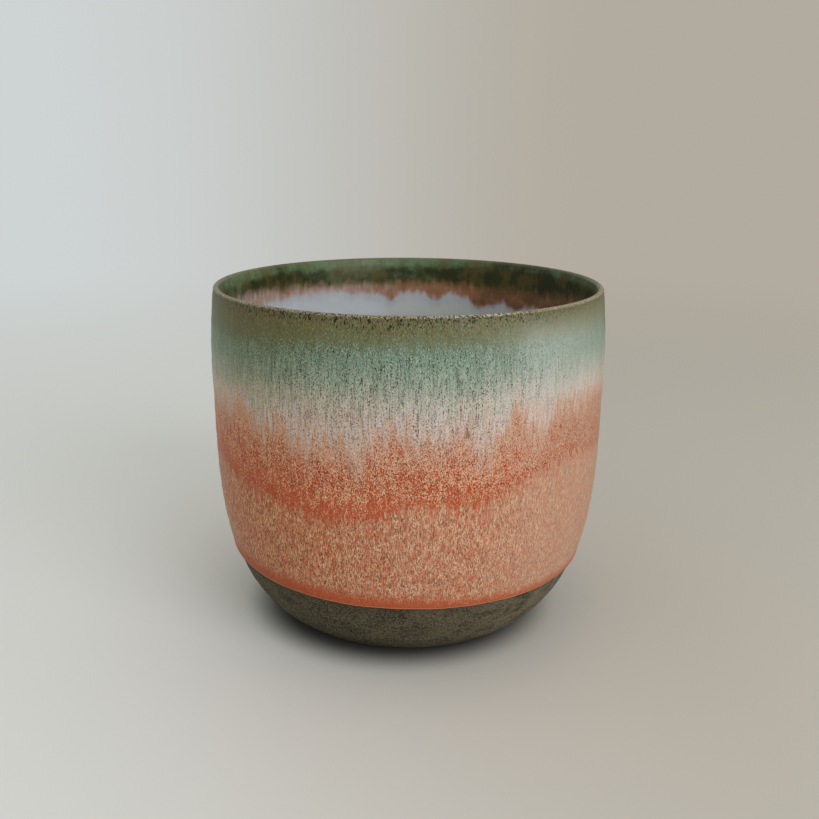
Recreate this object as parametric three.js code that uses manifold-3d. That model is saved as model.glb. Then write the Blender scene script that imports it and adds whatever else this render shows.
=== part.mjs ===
// A small stoneware planter: a thrown clay pot with a bare, rounded base and three coats of glaze.
// Sizes are in millimetres and +Z is up. The origin is on the table, at the centre of the foot ring.
// The front of the pot faces -Y, and angles are counted from the front towards +X.

import * as THREE from "three";
import { mergeVertices } from "three/addons/utils/BufferGeometryUtils.js";
import Module from "manifold-3d";

const wasm = await Module();
wasm.setup();

// The outside of the clay
const bellyHeight = 77.5;
const bellyRadius = 60.8;
const sideRoundness = 3.43;
const neckHeight = 28.15;
const lipRadius = 59.75;

// The foot ring under it
const undersideRadius = 40.8;
const footHeight = 1.2;
const footRadius = 36;
const footRingWidth = 5.5;
const footChamfer = 0.6;
const footRecess = 1.8;

// The inside of the clay
const wallThickness = 3.2;
const lipThickness = 1.4;
const floorThickness = 4.6;
const floorRadius = 36;
const bowlRoundness = 3.1;

// The first two coats: one on the outside down to the glaze line, and the liner on the inside.
// Both stop short of the lip, and the seat keeps the faces of two fused layers from crossing.
const seat = 0.05;
const outerCoat = 0.4;
const linerCoat = 0.35;
const coatEdge = 0.12;
const glazeLine = 22.3;
const beadWidth = 1.6;
const beadSwell = 0.2;
const lipBand = 2.6;

// The third coat is dipped over the lip, down to these depths below the top of the clay, and then runs.
const rimCoat = 0.2;
const outerDip = 29.5;
const innerDip = 11;
const edgeSlope = 0.6;

// Where it ran: angle in degrees, length below the dip, and half width in degrees
const outerRuns = [
  [-60, 5, 7],
  [-40, 13, 5],
  [-30, 9, 5],
  [-10, 13, 5],
  [5, 8, 6],
  [20, 8, 6],
  [35, 4, 6],
  [65, 7, 8],
  [95, 12, 6],
  [125, 6, 8],
  [150, 11, 6],
  [175, 7, 9],
  [205, 13, 6],
  [235, 8, 8],
  [265, 10, 6],
];
const innerRuns = [
  [-35, 4, 9],
  [15, 6, 7],
  [70, 3, 10],
  [110, 3, 8],
  [135, 5, 6],
  [150, 7, 6],
  [170, 4, 6],
  [185, 5, 6],
  [250, 4, 9],
];

// How finely the round forms are cut
const turns = 68;
const bowlSteps = 7;
const neckSteps = 2;
const lipSteps = 4;

const lipTop = bellyHeight + neckHeight;
const neckTop = lipTop - lipThickness / 2;
const floorTop = footRecess + floorThickness;
const innerBelly = bellyRadius - wallThickness;

// The quarter of a superellipse that rises from a ring low on the pot to the belly.
// Its points run upwards, and the top one is left to the neck.
function sideCurve(startRadius, startHeight, widest, roundness) {
  const power = 2 / roundness;
  const startAngle = Math.asin(Math.pow(startRadius / widest, 1 / power));
  const depth = (bellyHeight - startHeight) / Math.pow(Math.cos(startAngle), power);
  const points = [];
  for (let i = 0; i < bowlSteps; i++) {
    const angle = THREE.MathUtils.lerp(startAngle, Math.PI / 2, i / bowlSteps);
    const radius = widest * Math.pow(Math.sin(angle), power);
    const height = bellyHeight - depth * Math.pow(Math.cos(angle), power);
    points.push(new THREE.Vector2(radius, height));
  }
  return points;
}

// The neck goes from the belly to the lip along a parabola. Its points run upwards.
function neckCurve(widest, atLip) {
  const points = [];
  for (let i = 0; i <= neckSteps; i++) {
    const rise = i / neckSteps;
    const radius = THREE.MathUtils.lerp(widest, atLip, rise * rise);
    points.push(new THREE.Vector2(radius, THREE.MathUtils.lerp(bellyHeight, neckTop, rise)));
  }
  return points;
}

// The lip is a half round between the two necks. Its points run from outside to inside.
function lipCurve() {
  const half = lipThickness / 2;
  const points = [];
  for (let i = 1; i < lipSteps; i++) {
    const angle = (Math.PI * i) / lipSteps;
    const radius = lipRadius - half + half * Math.cos(angle);
    points.push(new THREE.Vector2(radius, neckTop + half * Math.sin(angle)));
  }
  return points;
}

// Adds the point where a rising run of points reaches a height.
function withHeight(points, height) {
  const above = points.findIndex((point) => point.y > height);
  const low = points[above - 1];
  const high = points[above];
  const added = low.clone().lerp(high, (height - low.y) / (high.y - low.y));
  return [...points.slice(0, above), added, ...points.slice(above)];
}

// The skin of the clay runs up the outside, over the lip and down the inside.
// The heights where a coat starts, swells or ends are points on it.
const coatEnd = lipTop - lipBand;
const outside = [glazeLine, glazeLine + beadWidth, coatEnd].reduce(withHeight, [
  ...sideCurve(undersideRadius, footHeight, bellyRadius, sideRoundness),
  ...neckCurve(bellyRadius, lipRadius),
]);
const inside = withHeight(
  [
    ...sideCurve(floorRadius, floorTop, innerBelly, bowlRoundness),
    ...neckCurve(innerBelly, lipRadius - lipThickness),
  ],
  coatEnd,
).reverse();
const skin = [...outside, ...lipCurve(), ...inside];

// The rows of the skin where something starts or ends
const skinEnd = skin.length - 1;
const outerStart = skin.findIndex((point) => point.y > glazeLine) - 1;
const outerEnd = skin.findIndex((point) => point.y > coatEnd) - 1;
const linerStart = skin.findLastIndex((point) => point.y > coatEnd) + 1;
const rimStart = skin.findIndex((point) => point.y >= bellyHeight) - 1;
const rimEnd = skin.findLastIndex((point) => point.y >= bellyHeight) + 1;

// The place at a distance above a point of the skin, square to the line between its neighbours
function lifted(i, distance) {
  const before = skin[Math.max(i - 1, 0)];
  const after = skin[Math.min(i + 1, skinEnd)];
  const along = after.clone().sub(before).normalize();
  return skin[i].clone().addScaledVector(new THREE.Vector2(along.y, -along.x), distance);
}

// The thickness of the first coat at a point of the skin: thin at its edges, and swollen above the glaze line
function firstCoat(i) {
  const bare = i < outerStart || (i > outerEnd && i < linerStart);
  if (bare) return 0;
  if (i === outerStart || i === outerEnd || i === linerStart) return coatEdge;
  if (i === outerStart + 1) return outerCoat + beadSwell;
  return i < outerEnd ? outerCoat : linerCoat;
}

function rowsBetween(first, last) {
  return Array.from({ length: last - first + 1 }, (_, i) => first + i);
}

// Turns a profile of radius and height round the Z axis.
function revolve(profile) {
  return new THREE.LatheGeometry(profile, turns).rotateX(Math.PI / 2);
}

// The clay: foot ring, underside, skin and floor, from the axis out and back to it
function stonewareBody() {
  const ringInside = footRadius - footRingWidth;
  return revolve([
    new THREE.Vector2(0, footRecess),
    new THREE.Vector2(ringInside - footChamfer, footRecess),
    new THREE.Vector2(ringInside, 0),
    new THREE.Vector2(footRadius - footChamfer, 0),
    new THREE.Vector2(footRadius, footHeight),
    ...skin,
    new THREE.Vector2(0, floorTop),
  ]);
}

// The coat on the outside is a closed band from the glaze line to just under the lip.
function outerGlaze() {
  const rows = rowsBetween(outerStart, outerEnd);
  const over = rows.map((i) => lifted(i, seat + firstCoat(i)));
  const under = rows.map((i) => lifted(i, seat)).reverse();
  return revolve([...over, ...under, over[0].clone()]);
}

// The liner covers the inside from just under the lip to the middle of the floor.
function linerGlaze() {
  const rows = rowsBetween(linerStart, skinEnd);
  const over = rows.map((i) => lifted(i, seat + firstCoat(i)));
  const under = rows.map((i) => lifted(i, seat)).reverse();
  const underCentre = new THREE.Vector2(0, floorTop + seat);
  const overCentre = new THREE.Vector2(0, floorTop + seat + linerCoat);
  return revolve([underCentre, ...under, ...over, overCentre]);
}

// How far the runs have carried the edge of the rim coat below the dip, at one angle
function runLength(runs, degrees) {
  return runs.reduce((longest, [at, length, halfWidth]) => {
    const apart = THREE.MathUtils.euclideanModulo(degrees - at + 180, 360) - 180;
    return Math.max(longest, length * Math.exp(-((apart / halfWidth) ** 2)));
  }, 0);
}

// A ring with a wavy top, which takes away the rim coat below its edge. The top slopes down to the middle
// of the wall, so that the coat is left with a thin edge on the layer under it.
function edgeCutter(dip, runs, depth) {
  const wallMiddle = bellyRadius - wallThickness / 2;
  const columns = [];
  for (let j = 0; j < 2 * turns; j++) {
    const edge = lipTop - dip - runLength(runs, (180 * j) / turns);
    const far = new THREE.Vector2(wallMiddle + depth, edge + edgeSlope * Math.abs(depth));
    const near = new THREE.Vector2(wallMiddle, edge);
    const profile = [near.clone().setY(0), far.clone().setY(0), far, near];
    columns.push(depth > 0 ? profile : profile.reverse());
  }
  return bandOf(columns);
}

// Joins closed profiles, one for each column round the axis, into a closed band.
function bandOf(columns) {
  const positions = columns.flatMap((profile, j) => {
    const angle = (2 * Math.PI * j) / columns.length;
    return profile.flatMap((point) => [point.x * Math.sin(angle), -point.x * Math.cos(angle), point.y]);
  });
  const size = columns[0].length;
  const indices = [];
  for (let j = 0; j < columns.length; j++) {
    const here = j * size;
    const beside = ((j + 1) % columns.length) * size;
    for (let i = 0; i < size; i++) {
      const next = (i + 1) % size;
      indices.push(here + i, beside + i, beside + next, here + i, beside + next, here + next);
    }
  }
  const geometry = new THREE.BufferGeometry();
  geometry.setAttribute("position", new THREE.Float32BufferAttribute(positions, 3));
  return geometry.setIndex(indices);
}

function solidOf(geometry) {
  const bare = geometry.clone();
  bare.deleteAttribute("normal");
  bare.deleteAttribute("uv");
  const merged = mergeVertices(bare);
  const vertProperties = merged.attributes.position.array;
  const triVerts = new Uint32Array(merged.index.array);
  return new wasm.Manifold(new wasm.Mesh({ numProp: 3, vertProperties, triVerts }));
}

function geometryOf(solid) {
  const { vertProperties, triVerts } = solid.getMesh();
  const geometry = new THREE.BufferGeometry();
  geometry.setAttribute("position", new THREE.BufferAttribute(vertProperties, 3));
  geometry.setIndex(new THREE.BufferAttribute(triVerts, 1));
  geometry.computeVertexNormals();
  return geometry;
}

// The rim coat wraps the lip and lies over the ends of the other two coats.
// It is made as an even skin down both walls, and cut back to its wavy edges.
function rimGlaze() {
  const rows = rowsBetween(rimStart, rimEnd);
  const underLift = (i) => (firstCoat(i) ? firstCoat(i) + 2 * seat : seat);
  const over = rows.map((i) => lifted(i, underLift(i) + rimCoat));
  const under = rows.map((i) => lifted(i, underLift(i))).reverse();
  const even = solidOf(revolve([...over, ...under, over[0].clone()]));
  const outerCutter = solidOf(edgeCutter(outerDip, outerRuns, 2 * wallThickness));
  const innerCutter = solidOf(edgeCutter(innerDip, innerRuns, -2 * wallThickness));
  return geometryOf(even.subtract(outerCutter).subtract(innerCutter));
}

function named(name, geometry, material) {
  const mesh = new THREE.Mesh(geometry, material);
  mesh.name = name;
  return mesh;
}

const clayMaterial = new THREE.MeshStandardMaterial({ color: 0x5b574b, roughness: 0.92, metalness: 0 });
const outerMaterial = new THREE.MeshStandardMaterial({ color: 0xd08a68, roughness: 0.55, metalness: 0 });
const linerMaterial = new THREE.MeshStandardMaterial({ color: 0xb9c3cc, roughness: 0.22, metalness: 0 });
const rimMaterial = new THREE.MeshStandardMaterial({ color: 0x7f9a82, roughness: 0.5, metalness: 0 });

const planter = new THREE.Group();
planter.name = "planter";
planter.add(
  named("stoneware_body", stonewareBody(), clayMaterial),
  named("outer_glaze", outerGlaze(), outerMaterial),
  named("liner_glaze", linerGlaze(), linerMaterial),
  named("rim_glaze", rimGlaze(), rimMaterial),
);

export default planter;
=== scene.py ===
# A small stoneware planter: a bare clay body and three coats of glaze that ran in the kiln.
# The pot is worked out in millimetres, and each piece is made metres when it is finished.
# +Z is up, the front faces -Y, and angles are counted from the front towards +X.

import functools
import math
from types import SimpleNamespace

import bmesh
import bpy
from mathutils import Matrix, Vector


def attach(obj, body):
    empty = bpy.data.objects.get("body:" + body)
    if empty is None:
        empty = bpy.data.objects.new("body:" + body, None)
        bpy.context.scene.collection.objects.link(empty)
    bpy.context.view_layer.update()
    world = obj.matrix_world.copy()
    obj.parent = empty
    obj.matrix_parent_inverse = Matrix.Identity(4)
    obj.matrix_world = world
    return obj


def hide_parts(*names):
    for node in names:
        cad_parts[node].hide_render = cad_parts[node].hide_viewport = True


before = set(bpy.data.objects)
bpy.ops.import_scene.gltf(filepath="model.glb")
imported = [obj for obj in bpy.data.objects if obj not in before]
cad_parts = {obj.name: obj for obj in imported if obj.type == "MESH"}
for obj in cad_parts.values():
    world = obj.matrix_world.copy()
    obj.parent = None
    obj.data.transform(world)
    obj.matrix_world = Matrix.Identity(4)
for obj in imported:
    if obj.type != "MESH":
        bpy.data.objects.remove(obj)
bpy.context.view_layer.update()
print("frame loaded:", sorted(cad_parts))

millimetre = 0.001  # in metres
outside, inside = 1.0, -1.0  # the sides of the clay, and the way that a coat grows on each


# The camera, fitted to the outline of the pot. Places are in metres and turns in degrees.

camera = {
    "place": (0.00054, -0.2960, 0.1499),
    "tilt": 73.856,
    "roll": 0.345,
    "lens": 41.76,
    "sensor": 36,
    "clipStart": 0.01,
}


def addCamera():
    data = bpy.data.cameras.new("camera")
    data.lens = camera["lens"]
    data.sensor_width = camera["sensor"]
    data.clip_start = camera["clipStart"]
    made = bpy.data.objects.new("camera", data)
    bpy.context.scene.collection.objects.link(made)
    tilt = Matrix.Rotation(math.radians(camera["tilt"]), 4, "X")
    roll = Matrix.Rotation(math.radians(camera["roll"]), 4, "Z")
    made.matrix_world = Matrix.Translation(camera["place"]) @ tilt @ roll
    bpy.context.scene.camera = made


addCamera()


# The clay, without its glaze

clay = {
    "bellyHeight": 77.5,
    "bellyRadius": 60.8,
    "sideRoundness": 3.43,
    "lipTop": 105.65,
    "lipRadius": 59.75,
    "undersideRadius": 40.8,
    "footHeight": 1.2,
    "footRadius": 36.0,
    "footRingWidth": 5.5,
    "footChamfer": 0.6,
    "footRounding": 0.5,
    "footRecess": 1.8,
    "wall": 3.2,
    "lip": 1.4,
    "floorTop": 6.4,
    "floorRadius": 36.0,
    "bowlRoundness": 3.1,
    "turns": 256,
}

neckTop = clay["lipTop"] - clay["lip"] / 2

# Soft rings in the clay, each (depth, height of one ring, phase), and the heights between which they
# come and go. The room sets them back, so that none stands proud of the clay's measures.
rings = {
    "thrown": [(0.035, 6.7, 0.4), (0.02, 3.1, 2.0)],
    "turned": [(0.03, 1.25, 1.0), (0.02, 2.3, 4.0)],
    "bowl": [(0.08, 7.9, 1.3), (0.03, 3.3, 0.2)],
    "room": 0.05,
    "sway": 0.8,
    "fadeToLip": (96, 104),
    "turnedFrom": (3, 6),
    "turnedTo": (19, 21),
    "bowlFrom": (6.4, 12),
}

# The thickness of the coats, and where they end
coats = {
    "seat": 0.05,
    "outer": 0.4,
    "liner": 0.35,
    "rim": 0.2,
    "edge": 0.12,
    "thinningFrom": 91.2,
    "end": 103.05,
    "glazeLine": 22.3,
    "glazeLineTilt": 1.1,
    "glazeLineWaves": [(0.1, 5, 1), (0.06, 13, 2), (0.04, 31, 0)],  # (height, how many, phase)
    "rolledStart": 0.04,
    "rolledWidth": 0.9,
    "bead": 0.2,
    "beadFades": (1.4, 4.2),
    "featheredEdge": 0.004,
    "featherSeat": 0.006,
    "featherLength": 5.0,
    "gathered": 0.4,
    "cornerSlope": 0.6,
    "turns": 384,
}


def smoothly(value, start, end):
    share = min(max((value - start) / (end - start), 0.0), 1.0)
    return share * share * (3 - 2 * share)


def superellipse(height, startRadius, startHeight, widest, roundness):
    # the side of the pot, from a ring low on it up to the belly
    reach = (1 - (startRadius / widest) ** roundness) ** (1 / roundness)
    depth = (clay["bellyHeight"] - startHeight) / reach
    below = max(clay["bellyHeight"] - height, 0) / depth
    return widest * max(1 - below**roundness, 0) ** (1 / roundness)


def ringsOf(kind, height, angle):
    relief = 0
    for depth, every, phase in rings[kind]:
        turn = math.tau * height / every + phase + rings["sway"] * math.sin(angle + phase)
        relief += depth * math.sin(turn)
    return relief


def skinRadius(side, height, angle):
    # the radius of the clay, with the soft rings that fingers and the turning tool leave
    rise = min(max((height - clay["bellyHeight"]) / (neckTop - clay["bellyHeight"]), 0), 1)
    calm = 1 - smoothly(height, *rings["fadeToLip"])
    if side == outside:
        low = superellipse(
            height, clay["undersideRadius"], clay["footHeight"], clay["bellyRadius"], clay["sideRoundness"]
        )
        drop = (clay["bellyRadius"] - clay["lipRadius"]) * rise**2
        turned = (1 - smoothly(height, *rings["turnedTo"])) * smoothly(height, *rings["turnedFrom"])
        relief = ringsOf("thrown", height, angle) * calm + ringsOf("turned", height, angle) * turned
        return low - drop + relief - rings["room"]
    innerBelly = clay["bellyRadius"] - clay["wall"]
    low = superellipse(height, clay["floorRadius"], clay["floorTop"], innerBelly, clay["bowlRoundness"])
    drop = (innerBelly - (clay["lipRadius"] - clay["lip"])) * rise**2
    relief = (ringsOf("bowl", height, angle) + rings["room"]) * calm
    return low - drop + relief * smoothly(height, *rings["bowlFrom"])


def skinSpot(side, height, lift, angle):
    # radius and height of a spot above the clay, square to it
    reach = 0.3
    change = skinRadius(side, height + reach, angle) - skinRadius(side, height - reach, angle)
    slope = change / (2 * reach)
    length = side * math.hypot(1, slope)
    return skinRadius(side, height, angle) + lift / length, height - lift * slope / length


def lipSpot(share, lift):
    # the lip is a half round, from outside at 0 to inside at 1
    half = clay["lip"] / 2
    turn = math.pi * share
    across = (half + lift) * math.cos(turn)
    return clay["lipRadius"] - half + across, neckTop + (half + lift) * math.sin(turn)


def firstCoat(side, height):
    # the coat under the rim coat, which thins towards its end below the lip
    full = coats["outer"] if side == outside else coats["liner"]
    if height > coats["end"]:
        return coats["edge"] * (1 - smoothly(height, coats["end"], neckTop))
    thinning = (height - coats["thinningFrom"]) / (coats["end"] - coats["thinningFrom"])
    return full + (coats["edge"] - full) * min(max(thinning, 0), 1)


def steps(first, last, count, power=1.0):
    return [first + (last - first) * (i / count) ** power for i in range(count + 1)]


# Each row of a profile is (kind, along, lift). The kinds say how a row finds its place once it is spun:
# a plain row takes along as its radius and lift as its height, and the others are places on the skin.
plainRow, outsideRow, lipRow, insideRow = 0, 1, 2, 3


def angleOf(vert):
    return math.atan2(vert.co.x, -vert.co.y)


def spinPiece(name, rows, closed, turns, placeRow):
    # spins a line of rows round the Z axis, then sets every vertex by its row and its angle
    bm = bmesh.new()
    rowLayer = bm.verts.layers.int.new("row")
    line = []
    for number in range(len(rows)):
        vert = bm.verts.new((1, 0, number))
        vert[rowLayer] = number
        line.append(vert)
    for below, above in zip(line, line[1:]):
        bm.edges.new((below, above))
    if closed:
        bm.edges.new((line[-1], line[0]))
    # an eighth is spun and then set round eight times, which is much quicker than one long spin
    eighth = math.tau / 8
    axis = {"cent": (0, 0, 0), "axis": (0, 0, 1)}
    bmesh.ops.spin(bm, geom=bm.verts[:] + bm.edges[:], angle=eighth, steps=turns // 8, **axis)
    whole = bm.verts[:] + bm.edges[:] + bm.faces[:]
    bmesh.ops.spin(bm, geom=whole, angle=7 * eighth, steps=7, use_duplicate=True, **axis)
    for vert in bm.verts:
        angle = angleOf(vert)
        radius, height = placeRow(rows[vert[rowLayer]], angle)
        vert.co = Vector((radius * math.sin(angle), -radius * math.cos(angle), height))
    bmesh.ops.remove_doubles(bm, verts=bm.verts[:], dist=0.001)
    bmesh.ops.recalc_face_normals(bm, faces=bm.faces[:])
    sortFaces(bm)
    return finishPiece(name, bm)


def sortFaces(bm):
    # welding the seam leaves its faces in another order each time, so they are put in one order
    count = len(bm.verts)
    bm.verts.index_update()

    def byCorners(face):
        lowest, second, *_, highest = sorted(vert.index for vert in face.verts)
        return (lowest * count + second) * count + highest

    bm.faces.sort(key=byCorners)
    bm.faces.index_update()


def finishPiece(name, bm):
    heights = [glazeHeights(vert) for vert in bm.verts]
    bmesh.ops.scale(bm, vec=(millimetre, millimetre, millimetre), verts=bm.verts[:])
    bm.verts.layers.int.remove(bm.verts.layers.int["row"])
    mesh = bpy.data.meshes.new(name)
    bm.to_mesh(mesh)
    bm.free()
    for key in heights[0]:
        attribute = mesh.attributes.new(key, "FLOAT", "POINT")
        attribute.data.foreach_set("value", [entry[key] for entry in heights])
    for face in mesh.polygons:
        face.use_smooth = True
    piece = bpy.data.objects.new(name, mesh)
    bpy.context.scene.collection.objects.link(piece)
    return piece


# How the glaze lies round the pot, and where painted shade, a painted highlight and a painted reflection lie
# on it, as lists of (angle, value) that go once round it. Heights are above the table and depths below the
# lip, in millimetres, and shares go from 0 to about 1.

glazeRuns = {
    "paleEdge": [  # height at which the pale runs of the rim coat end
        (-75, 74), (-66, 73), (-60, 73), (-55, 75), (-50, 76.5), (-46.5, 75), (-44, 71), (-41.5, 68.5),
        (-39, 70), (-36.5, 73), (-34.5, 73.5), (-32, 70), (-29.5, 68), (-26, 68), (-22, 69.5), (-18, 70),
        (-15.5, 67), (-13.5, 62.5), (-11.5, 66), (-9, 70), (-4, 73), (-1, 72), (2, 69), (5, 69),
        (9, 70), (13.5, 73), (17, 70), (20, 68.5), (23, 69.5), (26, 74), (28.5, 79), (31, 75.5), (34, 71),
        (36.5, 69), (39, 72), (42, 76), (47, 76.5), (53, 77), (60, 77.5), (66, 78), (71, 76.5), (75, 73),
        (78, 70), (81, 72), (84, 75), (88, 76), (92, 73.5), (95, 68), (97.5, 64), (100, 67), (104, 72),
        (108, 75), (113, 76.5), (117, 74), (120, 70.5), (123, 71), (127, 74.5), (131, 77), (136, 76),
        (140, 72), (143, 67.5), (145.5, 70), (149, 74), (153, 75.5), (157, 73), (160, 69), (163, 68),
        (166, 71), (171, 75.5), (176, 77.5), (181, 76), (185, 71.5), (188, 68.5), (190.5, 62.5), (193, 66.5),
        (197, 71.5), (202, 75), (207, 77), (212, 75), (216, 71), (219, 70), (222, 73), (226, 76.5),
        (231, 77.5), (236, 75.5), (240, 71), (243, 66), (246, 69.5), (250, 73), (254, 75), (258, 74),
        (262, 71), (265, 69.5), (268, 71.5), (273, 74), (279, 75),
    ],
    "denseEdge": [  # foot of the dense orange band below them
        (-75, 60), (-60, 56), (-50, 53), (-40, 52), (-30, 50.5), (-22, 49), (-15, 50), (-8, 52), (0, 55),
        (10, 54), (20, 54.5), (25, 56), (30, 59), (36, 61), (50, 62), (70, 60), (90, 56), (110, 52),
        (130, 50), (150, 53), (170, 56), (190, 54), (210, 50), (230, 51), (250, 55), (270, 59),
    ],
    "denseShare": [  # how dense that band is
        (-75, 0.9), (-60, 1.2), (-40, 1.2), (-28, 1.15), (-10, 1), (0, 0.85), (15, 0.85), (26, 0.6),
        (36, 0.3), (50, 0.12), (70, 0.15), (90, 0.5), (120, 0.95), (150, 0.8), (180, 0.5), (210, 0.9),
        (240, 1), (270, 0.8),
    ],
    "paleness": [  # share of a pale veil over the rim coat, partly the glaze's own paler tone and partly a painted reflection
        (-75, 0), (16, 0), (26, 0.35), (34, 0.9), (42, 0.85), (50, 0.75), (62, 0.5), (75, 0.2), (90, 0),
        (180, 0), (195, 0.6), (212, 0.5), (225, 0), (270, 0),
    ],
    "speckShare": [  # how many dark specks there are
        (-75, 0.5), (-55, 0.6), (-35, 0.9), (-20, 1), (15, 1), (28, 0.75), (40, 0.5), (60, 0.35),
        (80, 0.5), (110, 0.9), (150, 1), (190, 0.7), (215, 0.5), (240, 0.9), (270, 0.8),
    ],
    "greenDrop": [  # how far the olive and green have slid down
        (-75, 1.5), (-60, 2.5), (-40, 2.6), (-28, 1.4), (-15, 0.3), (10, 0), (40, 0.5), (60, 0.5), (90, 2.5),
        (120, 1), (150, -0.5), (180, 1), (210, 0), (240, 2.5), (270, 0.5),
    ],
    "paintedShade": [  # share of a painted shade that warms and darkens the glaze, most on the left of the front
        (-75, 0.6), (-60, 0.85), (-50, 1), (-40, 0.95), (-30, 0.65), (-20, 0.3), (-10, 0.15), (0, 0),
        (60, 0), (90, 0.3), (120, 0.6), (150, 0.2), (190, 0.1), (220, 0.5), (250, 0.8), (285, 0.6),
    ],
    "poolDepth": [  # height of the pool above the glaze line
        (-75, 5.2), (-60, 5.2), (-40, 5.0), (-20, 4.8), (0, 4.4), (10, 4.0), (20, 3.4), (40, 2.8),
        (60, 3.0), (90, 4.4), (120, 5.4), (150, 3.6), (180, 3.0), (210, 4.4), (240, 5.6), (270, 5.4),
    ],
    "greenDepth": [  # inside, depth at which the green ends
        (-60, 8), (-30, 9), (0, 7.5), (30, 9), (60, 8), (90, 7.5), (110, 8.5), (125, 9.5), (135, 9), (150, 9),
        (165, 8.6), (180, 9), (195, 9), (210, 8.8), (225, 8), (240, 8), (270, 8),
    ],
    "rustDepth": [  # inside, depth at which the rust under it ends
        (-60, 13), (-35, 16), (-10, 13), (15, 16), (40, 12.5), (70, 14), (95, 13), (110, 14.5), (124, 15.5),
        (133, 14.6), (136.5, 16.6), (140.5, 16.8), (143.5, 14.2), (146.5, 16), (149.5, 16.2), (152, 17.3),
        (155, 16.8), (158, 13.6), (163, 12.6), (166.5, 13), (168.8, 14.5), (171.4, 14.6), (174, 12.6),
        (180, 12.4), (183.6, 12.8), (185.6, 14.8), (188.4, 14.9), (190.6, 12.8), (200, 12),
        (210, 11.2), (222, 11.4), (235, 11.6), (250, 14), (262, 12.5), (275, 14), (290, 12.5),
    ],
    "clayFlash": [  # share of paler bare clay
        (-75, 0.3), (-55, 0.3), (-40, 0.12), (-25, 0), (0, 0.1), (10, 0.2), (25, 0.4), (40, 0.8), (60, 0.8),
        (80, 0.7), (110, 0.4), (150, 0.1), (200, 0.3), (240, 0.6), (270, 0.4),
    ],
    "lipBareAndHighlight": [  # how bare the lip is, and how much painted highlight its crest takes
        (-75, 0.3), (-50, 0.5), (-20, 0.6), (0, 0.6), (9, 1), (20, 1), (30, 0.7), (50, 0.4), (80, 0.2),
        (120, 0.6), (160, 0.4), (200, 0.7), (240, 0.3), (270, 0.5),
    ],
    "innerDark": [  # inside, how dark the green is
        (-60, 0.5), (0, 0.6), (60, 0.55), (90, 0.65), (112, 0.75), (130, 0.9), (148, 0.86), (160, 0.6),
        (175, 0.4), (188, 0.35), (205, 0.22), (218, 0.4), (230, 0.75), (240, 0.5), (255, 0.25),
        (275, 0.35), (290, 0.5),
    ],
    "rustShare": [  # inside, from pink to rust
        (-60, 0.6), (-20, 0.9), (30, 0.5), (80, 0.8), (110, 1), (150, 1), (185, 0.85), (200, 0.5),
        (215, 0.25), (240, 0.2), (270, 0.5),
    ],
}


@functools.lru_cache(maxsize=None)
def aroundPot(name, degrees):
    # reads a list of (angle, value) round the pot, and rounds it off between its points
    points = glazeRuns[name]
    degrees = (degrees - points[0][0]) % 360 + points[0][0]
    wrapped = points + [(points[0][0] + 360, points[0][1])]
    for (start, first), (end, last) in zip(wrapped, wrapped[1:]):
        if degrees <= end:
            return first + (last - first) * smoothly(degrees, start, end)
    return points[0][1]


def glazeLineAt(angle):
    waves = sum(tall * math.sin(count * angle + phase) for tall, count, phase in coats["glazeLineWaves"])
    return coats["glazeLine"] - coats["glazeLineTilt"] * math.sin(angle) + waves


def glazeHeights(vert):
    # the measures that the glaze materials read from each vertex
    degrees = round(math.degrees(angleOf(vert)), 3)
    heights = {name: aroundPot(name, degrees) for name in glazeRuns}
    heights["aboveLine"] = vert.co.z - glazeLineAt(angleOf(vert))
    return heights


def placeOnSkin(row, angle):
    kind, along, lift = row
    if kind == plainRow:
        return along, lift
    if kind == lipRow:
        return lipSpot(along, lift)
    return skinSpot(outside if kind == outsideRow else inside, along, lift, angle)


def makeClay():
    # foot ring with rounded edges, bare base, wall, lip, bowl and floor
    recess, rounding, chamfer = clay["footRecess"], clay["footRounding"], clay["footChamfer"]
    foot = clay["footRadius"]
    ring = foot - clay["footRingWidth"]
    bends = [share * math.pi / 2 for share in steps(0, 1, 6)]
    rows = [(plainRow, radius, recess) for radius in (0, ring * 0.5, ring - chamfer - 0.9)]
    for bend in bends:
        across, up = rounding * math.cos(bend), rounding * math.sin(bend)
        rows.append((plainRow, ring - chamfer - across, recess - up))
    for bend in bends:
        rows.append((plainRow, ring - 0.1 + rounding * math.sin(bend), rounding * (1 - math.sin(bend))))
    rows += [(plainRow, radius, 0) for radius in steps(ring + 0.9, foot - 1.4, 3)]
    for bend in bends:
        rows.append((plainRow, foot - chamfer + chamfer * math.sin(bend), chamfer * (1 - math.cos(bend))))
    rows += [(plainRow, foot + 0.25, 1.0), (plainRow, foot + 0.9, 1.14)]
    rows += [(plainRow, clay["undersideRadius"] - 1.2, 1.16)]
    rows += [(outsideRow, height, 0) for height in steps(clay["footHeight"] + 0.05, 24, 72, 1.5)]
    rows += [(outsideRow, height, 0) for height in steps(25.5, neckTop, 40)]
    rows += [(lipRow, share, 0) for share in steps(0, 1, 10)[1:-1]]
    bowl = steps(clay["floorTop"] + 0.05, neckTop, 60, 1.6)
    rows += [(insideRow, height, 0) for height in reversed(bowl)]
    rows += [(plainRow, radius, clay["floorTop"]) for radius in (34, 20, 0)]
    return spinPiece("clay_body", rows, False, clay["turns"], placeOnSkin)


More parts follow.
